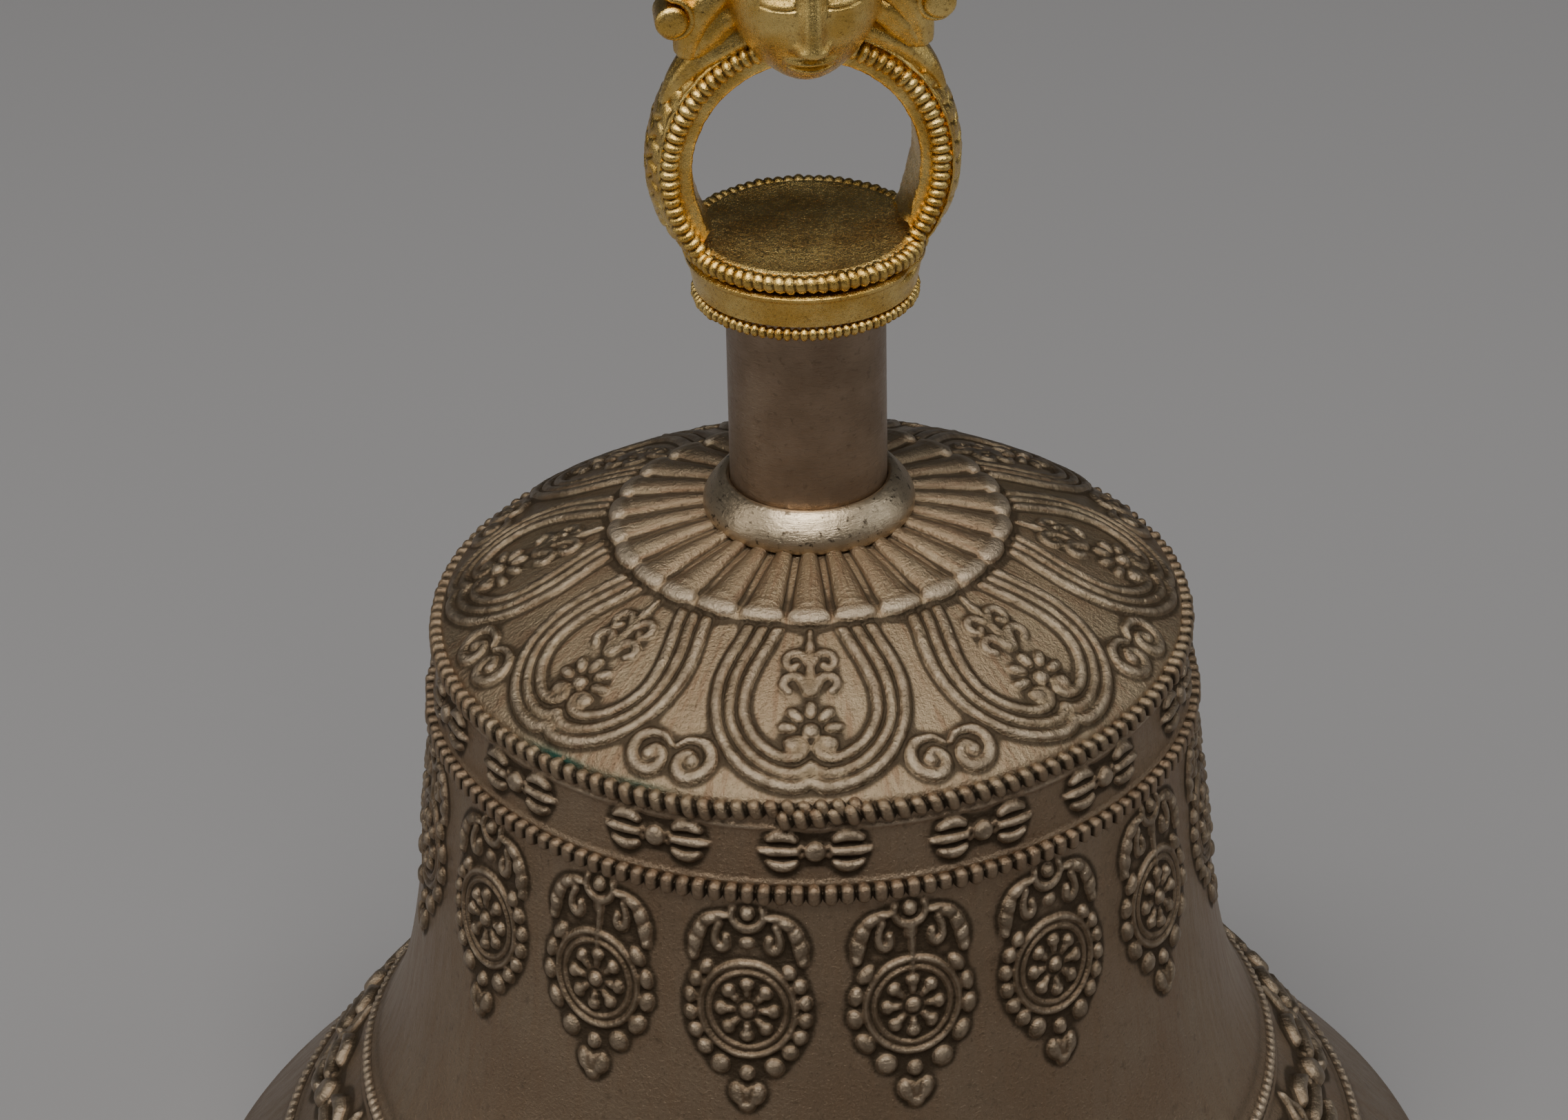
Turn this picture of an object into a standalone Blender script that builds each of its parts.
"""Tibetan bell (drilbu): cast bell, bolted-on gilded handle, free hanging clapper.

The bell stands on its mouth. Z = 0 is the plane of the mouth, +Z is the handle's
axis, and the face on the handle looks along -Y. All lengths are in metres.
"""
import math

import bmesh
import bpy
from mathutils import Matrix, Vector

MM = 0.001
GAP = 0.3 * MM                    # clearance between neighbouring pieces
RUNNING_GAP = 0.08 * MM           # clearance where the clapper's links bear

# Bell: the outer wall is a gently conical waist that turns smoothly into the flare.
SHOULDER_Z = 64.0 * MM            # centre of the beaded ring on the shoulder
SHOULDER_R = 29.64 * MM           # wall radius at the shoulder
WAIST_SLOPE = 0.119               # growth of the radius per height, in the waist
FLARE_SLOPE = 0.785               # what the flare adds to that slope
FLARE_Z = 24.0 * MM               # height where half of the flare's slope is reached
FLARE_SOFTNESS = 4.4 * MM         # how gradually the flare begins
WALL = 2.6 * MM
LIP_R = 54.0 * MM                 # largest radius of the bell, just above the mouth
LIP_Z = 2.1 * MM
MOUTH_OUTER_R = 52.7 * MM         # the flat ring that the bell stands on
MOUTH_INNER_R = 49.3 * MM
LIP_INNER_Z = 5.0 * MM            # where the thick lip runs into the thin wall
BEAD_A_R = 29.75 * MM             # beaded ring on the shoulder
BEAD_B_R = 30.45 * MM             # beaded ring under the band
BEAD_B_Z = 57.0 * MM
BEAD_SIZE = 0.72 * MM
DOME_EDGE_Z = 64.5 * MM
DOME_RISE = 8.9 * MM
DOME_FLAT_R = 4.0 * MM
SEAT_R = 8.9 * MM                 # flat seat under the collar
BORE_R = 2.3 * MM                 # hole for the bolt in the crown

# Neck and collar.
SEAT_Z = DOME_EDGE_Z + DOME_RISE
NECK_R = 6.2 * MM
NECK_BORE_R = 4.9 * MM
NECK_TOP_Z = 94.2 * MM
COLLAR_R = 8.4 * MM
COLLAR_HEIGHT = 3.0 * MM

# Gilded cap: a turned band, closed by a plate, with a beaded wire on each edge.
CAP_FOOT_Z = 92.05 * MM
CAP_TOP_Z = 97.45 * MM
CAP_FOOT_WIRE_R = 8.3 * MM
CAP_FOOT_WIRE = 0.5 * MM
CAP_TOP_WIRE_R = 8.85 * MM
CAP_TOP_WIRE = 0.7 * MM
CAP_TOP_WIRE_PROUD = 0.2 * MM    # how far the wire stands above the plate
CAP_BAND_FOOT_R = 8.75 * MM
CAP_BAND_TOP_R = 9.25 * MM
CAP_CAVITY_R = 7.8 * MM
CAP_FLOOR = 0.85 * MM
PLATE_R = 7.85 * MM
PLATE_THICKNESS = 1.2 * MM
BOSS_R = 4.5 * MM
BOSS_DROP = 2.6 * MM

# Bow: the finger ring above the cap, D-shaped in section, beaded on both faces.
BOW_Z = 103.75 * MM
BOW_INNER_R = 8.6 * MM
BOW_FACE_R = 11.0 * MM
BOW_OUTER_R = 12.1 * MM
BOW_HALF_DEPTH = 2.9 * MM
BOW_WIRE_R = 10.3 * MM
BOW_WIRE = 0.6 * MM
BOW_FOOT_Z = CAP_TOP_Z + CAP_TOP_WIRE_PROUD + GAP

# Head, hair and crown above the bow.
HEAD_CENTRE = Vector((0.0, -2.7 * MM, 119.2 * MM))
HEAD_HALF = Vector((6.0 * MM, 6.1 * MM, 7.8 * MM))
CHIN_NARROWING = 0.16
HEAD_SLOT_R = BOW_OUTER_R + GAP
HEAD_SLOT_HALF = BOW_HALF_DEPTH + GAP + 2 * BOW_WIRE + GAP
CROWN_Z = 122.6 * MM
CROWN_BAND = 1.7 * MM
CROWN_LEAF = 5.2 * MM
CROWN_R = 7.3 * MM
CROWN_THICKNESS = 0.9 * MM
CROWN_LEAVES = 5
LEAF_SPACING = math.radians(52)
CROWN_STEPS = 48
SCROLL_CENTRE = Vector((9.4 * MM, -2.2 * MM, 116.1 * MM))
SCROLL_R = 1.3 * MM
SCROLL_TUBE = 0.75 * MM
SCROLL_START = -170               # angle of the volute's inner end, outwards being zero
SCROLL_TURN = 270
SCROLL_STEPS = 9
SCROLL_TAIL = ((8.75 * MM, 119.2 * MM), (8.2 * MM, 120.4 * MM), (7.6 * MM, 121.4 * MM))

# Half vajra: lotus, moon disc, hub, eight curved prongs round one straight prong.
TOPKNOT_Z = 127.9 * MM
LOTUS_Z = 131.6 * MM
LOTUS_KNOP_Z = 136.6 * MM
LOTUS_TOP_Z = 138.8 * MM
MOON_Z = 143.6 * MM
HUB_Z = 145.5 * MM
PRONG_Z = 148.9 * MM
PRONG_COUNT = 8
PRONG_ROOT_R = 3.55 * MM
PRONG_BELLY_R = 10.4 * MM
PRONG_TIP_R = 3.1 * MM
PRONG_HEIGHT = 33.0 * MM
PRONG_THICKNESS = 1.5 * MM
PRONG_STEPS = 12
BELLY_SHIFT = 0.78                # below one, the prongs' belly sits under half their height
BELLY_SHARPNESS = 1.15
CENTRE_R = 1.9 * MM
CENTRE_TOP_Z = 184.6 * MM
TANG_R = 1.2 * MM
TANG_FOOT_Z = 124.0 * MM
FINIAL_TOP_Z = 191.0 * MM

# Bolt through the crown, and the clapper on its link.
BOLT_R = 2.0 * MM
BOLT_TOP_Z = 96.0 * MM
EYE_Z = 62.2 * MM
EYE_R = 2.6 * MM
EYE_WIRE = 0.9 * MM
WASHER_R = 6.0 * MM
WASHER_THICKNESS = 0.9 * MM
NUT_R = 4.1 * MM
NUT_HEIGHT = 2.2 * MM
LINK_R = 2.2 * MM
LINK_WIRE = 0.75 * MM
LINK_STRAIGHT = 3.4 * MM
CLAPPER_EYE_R = 2.2 * MM
CLAPPER_WIRE = 0.8 * MM
CLAPPER_ROD_R = 1.4 * MM
BALL_Z = 13.0 * MM
BALL_R = 8.0 * MM
BALL_BORE_R = 1.7 * MM
ROD_BELOW_BALL = 0.6 * MM

BODY_SEGMENTS = 48
RING_SEGMENTS = 24
WIDE_SEGMENTS = 36
WIRE_SIDES = 6

LINK_PIVOT_Z = EYE_Z - EYE_R
LINK_TOP_ARC_Z = LINK_PIVOT_Z + EYE_WIRE + LINK_WIRE + RUNNING_GAP - LINK_R
CLAPPER_PIVOT_Z = LINK_TOP_ARC_Z - LINK_STRAIGHT - LINK_R
CLAPPER_EYE_Z = CLAPPER_PIVOT_Z + LINK_WIRE + CLAPPER_WIRE + RUNNING_GAP - CLAPPER_EYE_R

BELL_METAL = ("bell_metal", (0.20, 0.165, 0.14, 1.0), 0.42, 0.9)
NECK_METAL = ("neck_metal", (0.24, 0.195, 0.17, 1.0), 0.36, 0.9)
GILT = ("gilt_metal", (0.83, 0.60, 0.20, 1.0), 0.3, 1.0)
STEEL = ("plain_steel", (0.33, 0.32, 0.31, 1.0), 0.4, 1.0)
CLAPPER_METAL = ("clapper_metal", (0.42, 0.33, 0.2, 1.0), 0.4, 1.0)


def clear_scene():
    for old in list(bpy.data.objects):
        bpy.data.objects.remove(old)


def material(finish):
    """One Principled material for one piece."""
    name, colour, roughness, metallic = finish
    mat = bpy.data.materials.new(name)
    mat.use_nodes = True
    shader = mat.node_tree.nodes["Principled BSDF"]
    shader.inputs["Base Color"].default_value = colour
    shader.inputs["Roughness"].default_value = roughness
    shader.inputs["Metallic"].default_value = metallic
    return mat


def finished(name, bm, finish):
    """Turns a bmesh into a named object with its own material."""
    bmesh.ops.recalc_face_normals(bm, faces=bm.faces)
    mesh = bpy.data.meshes.new(name)
    bm.to_mesh(mesh)
    bm.free()
    mesh.shade_smooth()
    mesh.set_sharp_from_angle(angle=math.radians(35))
    obj = bpy.data.objects.new(name, mesh)
    bpy.context.collection.objects.link(obj)
    obj.data.materials.append(material(finish))
    return obj


def turned_mesh(outline, segments):
    """Spins a closed outline of (radius, z) points about Z."""
    bm = bmesh.new()
    verts = [bm.verts.new((r, 0.0, z)) for r, z in outline]
    closed = outline[0][0] > 0.0 or outline[-1][0] > 0.0
    edges = [bm.edges.new((a, b)) for a, b in zip(verts, verts[1:])]
    if closed:
        edges.append(bm.edges.new((verts[-1], verts[0])))
    bmesh.ops.spin(bm, geom=verts + edges, cent=(0, 0, 0), axis=(0, 0, 1),
                   angle=math.tau, steps=segments, use_merge=True)
    bmesh.ops.remove_doubles(bm, verts=bm.verts, dist=1e-7)
    return bm


def turned(name, outline, finish, segments=RING_SEGMENTS):
    return finished(name, turned_mesh(outline, segments), finish)


def circle(radius, centre_r, centre_z, sides=WIRE_SIDES):
    """A round outline for a ring."""
    steps = [math.tau * (i + 0.5) / sides for i in range(sides)]
    return [(centre_r + radius * math.cos(a), centre_z + radius * math.sin(a)) for a in steps]


def arc(centre_r, centre_z, radius, start, end, steps):
    """Points of a round stretch of an outline, angles in degrees."""
    angles = [math.radians(start + (end - start) * i / steps) for i in range(steps + 1)]
    return [(centre_r + radius * math.cos(a), centre_z + radius * math.sin(a)) for a in angles]


def cutter(name, bm):
    """A hidden solid that only cuts another."""
    bmesh.ops.recalc_face_normals(bm, faces=bm.faces)
    mesh = bpy.data.meshes.new(name)
    bm.to_mesh(mesh)
    bm.free()
    obj = bpy.data.objects.new(name, mesh)
    bpy.context.collection.objects.link(obj)
    obj.hide_render = True
    obj.display_type = "WIRE"
    return obj


def boolean(obj, other, operation):
    mod = obj.modifiers.new(operation.title(), "BOOLEAN")
    mod.operation = operation
    mod.solver = "EXACT"
    mod.object = other


def cylinder_mesh(radius, low, high, axis="Z", segments=36):
    """A closed cylinder about the Y or Z axis through the origin."""
    bm = turned_mesh([(0.0, high), (radius, high), (radius, low), (0.0, low)], segments)
    if axis == "Y":
        bmesh.ops.transform(bm, matrix=Matrix.Rotation(math.radians(-90), 4, "X"), verts=bm.verts)
    return bm


def wall_radius(z):
    """Outer radius of the bell's wall at a height."""
    flare = math.log1p(math.exp((FLARE_Z - z) / FLARE_SOFTNESS))
    return SHOULDER_R + WAIST_SLOPE * (SHOULDER_Z - z) + FLARE_SLOPE * FLARE_SOFTNESS * flare


def dome_z(r):
    """Height of the dome's outer surface at a radius."""
    reach = max(r - DOME_FLAT_R, 0.0) / (SHOULDER_R - DOME_FLAT_R)
    return DOME_EDGE_Z + DOME_RISE * (1.0 - reach ** 2)


def bell_outline():
    """Outer side from the crown down, then the mouth, then the inner side up."""
    dome = [(SEAT_R, SEAT_Z)]
    dome += [(r * MM, dome_z(r * MM)) for r in (9.2, 14.0, 19.0, 24.0, 28.4)]
    beads = arc(BEAD_A_R, SHOULDER_Z, BEAD_SIZE, 75, -75, 2)
    beads += arc(BEAD_B_R, BEAD_B_Z, BEAD_SIZE, 75, -75, 2)
    heights = [z * MM for z in (48, 38, 31, 26, 21, 16, 11, 4)]
    wall = [(wall_radius(z), z) for z in heights]
    lip = [(LIP_R, LIP_Z), (LIP_R - 0.4 * MM, 0.6 * MM), (MOUTH_OUTER_R, 0.0), (MOUTH_INNER_R, 0.0),
           (wall_radius(LIP_INNER_Z) - 3.6 * MM, LIP_INNER_Z)]
    inner = [(wall_radius(z) - WALL, z) for z in reversed(heights[:-1])]
    inner += [(SHOULDER_R - WALL + 0.4 * MM, 59.5 * MM), (SHOULDER_R - WALL - 1.3 * MM, 62.0 * MM)]
    inner += [(r * MM, dome_z(r * MM) - WALL) for r in (22.0, 15.0, 8.0)]
    return [(BORE_R, SEAT_Z)] + dome + beads + wall + lip + inner + [(BORE_R, SEAT_Z - WALL)]


def make_bell():
    turned("bell_body", bell_outline(), BELL_METAL, BODY_SEGMENTS)


def make_collar():
    """Quarter-round moulding where the neck stands on the dome."""
    bore = NECK_R + GAP
    foot = SEAT_Z + GAP
    depth = COLLAR_R - bore
    angles = [math.radians(a) for a in (78, 58, 38, 20, 4)]
    belly = [(bore + depth * math.cos(a), foot + COLLAR_HEIGHT * math.sin(a)) for a in angles]
    outline = [(bore, foot + COLLAR_HEIGHT)] + belly + [(COLLAR_R, foot), (bore, foot)]
    turned("collar_ring", outline, BELL_METAL, RING_SEGMENTS)


def make_neck():
    foot = SEAT_Z + GAP
    outline = [(NECK_R, NECK_TOP_Z), (NECK_R, foot), (NECK_BORE_R, foot), (NECK_BORE_R, NECK_TOP_Z)]
    turned("neck_tube", outline, NECK_METAL)


def make_cap():
    foot = CAP_FOOT_Z + 2 * CAP_FOOT_WIRE + GAP
    top = CAP_TOP_Z - PLATE_THICKNESS - GAP
    floor = foot + CAP_FLOOR
    bore = NECK_R + GAP
    band = [(CAP_CAVITY_R, top), (CAP_BAND_TOP_R, top), (CAP_BAND_FOOT_R, foot), (bore, foot),
            (bore, floor), (CAP_CAVITY_R, floor)]
    turned("cap_band", band, GILT, WIDE_SEGMENTS)
    foot_wire_z = CAP_FOOT_Z + CAP_FOOT_WIRE
    turned("cap_foot_beading", circle(CAP_FOOT_WIRE, CAP_FOOT_WIRE_R, foot_wire_z), GILT, WIDE_SEGMENTS)
    under = CAP_TOP_Z - PLATE_THICKNESS
    boss_foot = under - BOSS_DROP
    plate = [(0.0, CAP_TOP_Z), (PLATE_R, CAP_TOP_Z), (PLATE_R, under), (BOSS_R, under),
             (BOSS_R, boss_foot), (BORE_R, boss_foot), (BORE_R, BOLT_TOP_Z + GAP), (0.0, BOLT_TOP_Z + GAP)]
    turned("cap_plate", plate, GILT, WIDE_SEGMENTS)
    top_wire_z = CAP_TOP_Z - CAP_TOP_WIRE + CAP_TOP_WIRE_PROUD
    turned("cap_top_beading", circle(CAP_TOP_WIRE, CAP_TOP_WIRE_R, top_wire_z), GILT, WIDE_SEGMENTS)


def bow_piece(name, section, segments):
    """Turns a section about the bow's Y axis and cuts it flat where it stands on the cap."""
    bm = turned_mesh(section, segments)
    turn = Matrix.Rotation(math.radians(90), 4, "X")
    bmesh.ops.transform(bm, matrix=Matrix.Translation((0, 0, BOW_Z)) @ turn, verts=bm.verts)
    everything = bm.verts[:] + bm.edges[:] + bm.faces[:]
    bmesh.ops.bisect_plane(bm, geom=everything, plane_co=(0, 0, BOW_FOOT_Z), plane_no=(0, 0, 1),
                           clear_inner=True)
    bmesh.ops.holes_fill(bm, edges=[e for e in bm.edges if e.is_boundary])
    finished(name, bm, GILT)


def make_bow():
    half = BOW_HALF_DEPTH
    edge = BOW_OUTER_R - BOW_FACE_R
    rise = [(BOW_FACE_R + edge * math.cos(math.radians(a)), half * math.sin(math.radians(a)))
            for a in (65, 35, 0, -35, -65)]
    section = [(BOW_INNER_R, half), (BOW_FACE_R, half)] + rise + [(BOW_FACE_R, -half), (BOW_INNER_R, -half)]
    bow_piece("bow_ring", section, WIDE_SEGMENTS)
    offset = BOW_HALF_DEPTH + GAP + BOW_WIRE
    bow_piece("bow_beading_front", circle(BOW_WIRE, BOW_WIRE_R, offset), WIDE_SEGMENTS)
    bow_piece("bow_beading_back", circle(BOW_WIRE, BOW_WIRE_R, -offset), WIDE_SEGMENTS)


def make_head():
    """Plain head: an ovoid that saddles the bow, a little narrower towards the chin."""
    bm = bmesh.new()
    bmesh.ops.create_uvsphere(bm, u_segments=20, v_segments=14, radius=1.0)
    for vert in bm.verts:
        vert.co.x *= 1.0 - CHIN_NARROWING * max(-vert.co.z, 0.0) ** 2
        vert.co = Vector(a * b for a, b in zip(vert.co, HEAD_HALF)) + HEAD_CENTRE
    head = finished("head", bm, GILT)
    saddle = cylinder_mesh(HEAD_SLOT_R, -HEAD_SLOT_HALF, HEAD_SLOT_HALF, "Y")
    bmesh.ops.translate(saddle, vec=(0, 0, BOW_Z), verts=saddle.verts)
    boolean(head, cutter("head_saddle_cutter", saddle), "DIFFERENCE")
    socket = cylinder_mesh(TANG_R + GAP, TANG_FOOT_Z - GAP, CROWN_Z + 10 * MM, "Z", 20)
    boolean(head, cutter("head_socket_cutter", socket), "DIFFERENCE")


def crown_height(angle):
    """Height of the crown's upper edge: one pointed leaf after another round the brow."""
    offset = min(abs(angle - LEAF_SPACING * (i - CROWN_LEAVES // 2)) for i in range(CROWN_LEAVES))
    share = min(offset / (LEAF_SPACING / 2), 1.0)
    return CROWN_BAND + CROWN_LEAF * (1.0 - share) ** 0.75


def make_crown():
    bm = bmesh.new()
    rings = []
    for step in range(CROWN_STEPS):
        angle = math.tau * step / CROWN_STEPS
        signed = math.remainder(angle, math.tau)
        direction = Vector((math.sin(angle), -math.cos(angle), 0.0))
        base = Vector((0.0, HEAD_CENTRE.y, CROWN_Z))
        top = Vector((0.0, 0.0, crown_height(signed)))
        inner = base + direction * (CROWN_R - CROWN_THICKNESS)
        outer = base + direction * CROWN_R
        rings.append([bm.verts.new(p) for p in (outer, inner, inner + top, outer + top)])
    for this, after in zip(rings, rings[1:] + rings[:1]):
        for i in range(4):
            bm.faces.new((this[i], this[(i + 1) % 4], after[(i + 1) % 4], after[i]))
    finished("crown", bm, GILT)


def curve_tube(name, points, radii, depth, finish, cyclic=False):
    """A round bar along a list of points, thinner or thicker along its length."""
    curve = bpy.data.curves.new(name, "CURVE")
    curve.dimensions = "3D"
    curve.bevel_depth = depth
    curve.bevel_resolution = 1
    curve.use_fill_caps = not cyclic
    spline = curve.splines.new("POLY")
    spline.points.add(len(points) - 1)
    spline.use_cyclic_u = cyclic
    for point, place, radius in zip(spline.points, points, radii):
        point.co = (*place, 1.0)
        point.radius = radius
    obj = bpy.data.objects.new(name, curve)
    bpy.context.collection.objects.link(obj)
    curve.materials.append(material(finish))


def make_scrolls():
    """A C-shaped volute beside each ear, its tail running up behind the crown's side leaf."""
    centre = SCROLL_CENTRE
    turns = [math.radians(SCROLL_START + SCROLL_TURN * i / SCROLL_STEPS) for i in range(SCROLL_STEPS + 1)]
    path = [(centre.x + SCROLL_R * math.cos(a), centre.z + SCROLL_R * math.sin(a)) for a in turns]
    path += SCROLL_TAIL
    for name, side in (("scroll_left", -1), ("scroll_right", 1)):
        points = [Vector((side * x, centre.y, z)) for x, z in path]
        radii = [0.8 + 0.2 * min(i / 4, 1.0) for i in range(len(points))]
        curve_tube(name, points, radii, SCROLL_TUBE, GILT)


def bored(points):
    """A turned outline with the tang's hole through it."""
    hole = TANG_R + GAP
    return [(hole, points[0][1])] + points + [(hole, points[-1][1])]


def make_topknot():
    z = TOPKNOT_Z
    outline = [(2.6, 3.4), (3.3, 2.5), (3.5, 1.4), (3.1, 0.4), (2.6, 0.0)]
    turned("topknot", bored([(r * MM, z + h * MM) for r, h in outline]), GILT)


def make_lotus():
    low = [(3.4, 4.7), (3.8, 3.6), (5.2, 2.2), (6.2, 0.8), (5.9, 0.1), (3.2, 0.0)]
    turned("lotus_lower", bored([(r * MM, LOTUS_Z + h * MM) for r, h in low]), GILT)
    knop = [(2.8, 1.9), (3.6, 1.6), (3.9, 0.95), (3.6, 0.3), (2.8, 0.0)]
    turned("lotus_knop", bored([(r * MM, LOTUS_KNOP_Z + h * MM) for r, h in knop]), GILT)
    high = [(3.2, 4.5), (6.0, 4.4), (6.3, 3.7), (5.2, 2.3), (3.8, 1.0), (3.4, 0.0)]
    turned("lotus_upper", bored([(r * MM, LOTUS_TOP_Z + h * MM) for r, h in high]), GILT)


def make_moon_and_hub():
    moon = [(5.3, 1.6), (5.6, 1.2), (5.6, 0.4), (5.3, 0.0)]
    turned("moon_disc", bored([(r * MM, MOON_Z + h * MM) for r, h in moon]), GILT)
    hub = [(2.0, 3.1), (3.1, 2.2), (3.3, 1.0), (3.0, 0.0)]
    turned("prong_hub", bored([(r * MM, HUB_Z + h * MM) for r, h in hub]), GILT)


def prong_path():
    """Distance from the axis and height of a curved prong, from its root to its tip."""
    points = []
    for i in range(PRONG_STEPS + 1):
        t = i / PRONG_STEPS
        swell = math.sin(math.pi * t ** BELLY_SHIFT) ** BELLY_SHARPNESS
        straight = PRONG_ROOT_R + (PRONG_TIP_R - PRONG_ROOT_R) * t
        points.append((straight + (PRONG_BELLY_R - PRONG_ROOT_R) * swell, PRONG_Z + PRONG_HEIGHT * t))
    return points


def prong_thickness(i):
    """Share of the full thickness: slim at the root, slimmer at the tip."""
    t = i / PRONG_STEPS
    return 0.35 + 0.65 * math.sin(math.pi * min(0.15 + 0.8 * t, 1.0)) ** 0.6


def make_prongs():
    path = prong_path()
    radii = [prong_thickness(i) for i in range(len(path))]
    for number in range(PRONG_COUNT):
        angle = math.tau * (number + 0.5) / PRONG_COUNT
        out = Vector((math.sin(angle), -math.cos(angle), 0.0))
        points = [out * r + Vector((0.0, 0.0, z)) for r, z in path]
        curve_tube(f"prong_{number + 1}", points, radii, PRONG_THICKNESS, GILT)


def make_centre_prong():
    top = CENTRE_TOP_Z
    outline = [(0.0, top), (0.7 * MM, top), (1.1 * MM, top - 6 * MM), (CENTRE_R, top - 14 * MM),
               (1.2 * MM, top - 24 * MM), (CENTRE_R, top - 30 * MM), (CENTRE_R, HUB_Z + 3.1 * MM + GAP),
               (TANG_R, HUB_Z + 3.1 * MM + GAP), (TANG_R, TANG_FOOT_Z), (0.0, TANG_FOOT_Z)]
    turned("centre_prong", outline, GILT, 16)


def make_finial():
    foot = CENTRE_TOP_Z + GAP
    outline = [(0.0, FINIAL_TOP_Z), (0.5 * MM, FINIAL_TOP_Z - 1.2 * MM), (1.5 * MM, foot + 2.6 * MM),
               (1.7 * MM, foot + 1.5 * MM), (1.1 * MM, foot), (0.0, foot)]
    turned("finial", outline, GILT, 16)


def make_bolt():
    """Eye bolt that clamps the handle to the crown and carries the clapper's link."""
    outline = [(0.0, BOLT_TOP_Z), (BOLT_R, BOLT_TOP_Z), (BOLT_R, EYE_Z + EYE_R), (0.0, EYE_Z + EYE_R)]
    bolt = turned("eye_bolt", outline, STEEL, 20)
    eye = turned_mesh(circle(EYE_WIRE, EYE_R, 0.0, 8), RING_SEGMENTS)
    turn = Matrix.Translation((0, 0, EYE_Z)) @ Matrix.Rotation(math.radians(90), 4, "Y")
    bmesh.ops.transform(eye, matrix=turn, verts=eye.verts)
    boolean(bolt, cutter("eye_bolt_ring", eye), "UNION")
    washer_top = SEAT_Z - WALL - GAP
    washer_foot = washer_top - WASHER_THICKNESS
    washer = [(BORE_R, washer_top), (WASHER_R, washer_top), (WASHER_R, washer_foot), (BORE_R, washer_foot)]
    turned("bolt_washer", washer, STEEL)
    nut_top = washer_foot - GAP
    nut = [(BORE_R, nut_top), (NUT_R, nut_top), (NUT_R, nut_top - NUT_HEIGHT), (BORE_R, nut_top - NUT_HEIGHT)]
    turned("lock_nut", nut, STEEL, 6)


def link_points():
    """Centre line of the clapper's link, an oval in the XZ plane."""
    points = []
    for start, centre_z in ((0, LINK_TOP_ARC_Z), (180, LINK_TOP_ARC_Z - LINK_STRAIGHT)):
        for i in range(9):
            angle = math.radians(start + 180 * i / 8)
            points.append(Vector((LINK_R * math.cos(angle), 0.0, centre_z + LINK_R * math.sin(angle))))
    return points


def make_clapper():
    points = link_points()
    curve_tube("clapper_link", points, [1.0] * len(points), LINK_WIRE, STEEL, cyclic=True)
    eye_foot = CLAPPER_EYE_Z - CLAPPER_EYE_R
    rod_foot = BALL_Z - BALL_R - ROD_BELOW_BALL
    outline = [(0.0, eye_foot), (CLAPPER_ROD_R, eye_foot), (CLAPPER_ROD_R, rod_foot), (0.0, rod_foot)]
    rod = turned("clapper_rod", outline, CLAPPER_METAL, 16)
    eye = turned_mesh(circle(CLAPPER_WIRE, CLAPPER_EYE_R, 0.0, 8), RING_SEGMENTS)
    turn = Matrix.Translation((0, 0, CLAPPER_EYE_Z)) @ Matrix.Rotation(math.radians(90), 4, "Y")
    bmesh.ops.transform(eye, matrix=turn, verts=eye.verts)
    boolean(rod, cutter("clapper_eye_ring", eye), "UNION")
    bore_half = math.degrees(math.asin(BALL_BORE_R / BALL_R))
    ball = arc(0.0, BALL_Z, BALL_R, 90 - bore_half, bore_half - 90, 10)
    turned("clapper_ball", ball, CLAPPER_METAL)


def main():
    clear_scene()
    make_bell()
    make_collar()
    make_neck()
    make_cap()
    make_bow()
    make_head()
    make_crown()
    make_scrolls()
    make_topknot()
    make_lotus()
    make_moon_and_hub()
    make_prongs()
    make_centre_prong()
    make_finial()
    make_bolt()
    make_clapper()


main()
